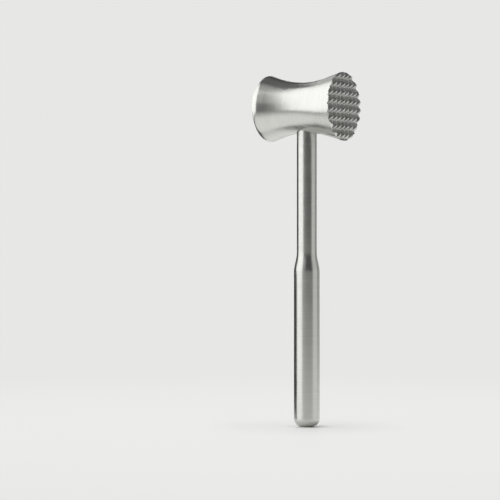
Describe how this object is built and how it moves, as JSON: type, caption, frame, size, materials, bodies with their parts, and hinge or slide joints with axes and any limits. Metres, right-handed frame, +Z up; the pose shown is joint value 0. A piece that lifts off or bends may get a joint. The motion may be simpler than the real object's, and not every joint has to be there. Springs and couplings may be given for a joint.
{
  "type": "meat mallet",
  "caption": "All-steel meat mallet: a waisted round head with a toothed face and a plain face, on a slim tube handle with a thicker grip.",
  "frame": {"origin": "centre of the small flat at the bottom of the handle's rounded end, on the handle's axis", "axes": "+Z up along the handle to the head, +X along the head towards the toothed face"},
  "size_m": [0.0663, 0.0496, 0.2578],
  "materials": {
    "satin_head": "satin, turned round the head",
    "brushed_tube": "fine brushed",
    "brushed_cap": "fine brushed",
    "milled_bush": "as machined",
    "milled_stud": "as machined"
  },
  "bodies": {
    "root": {"mallet_head": "satin_head", "handle_stud": "milled_stud", "neck_bush": "milled_bush", "handle_tube": "brushed_tube", "end_cap": "brushed_cap"}
  },
  "joints": []
}
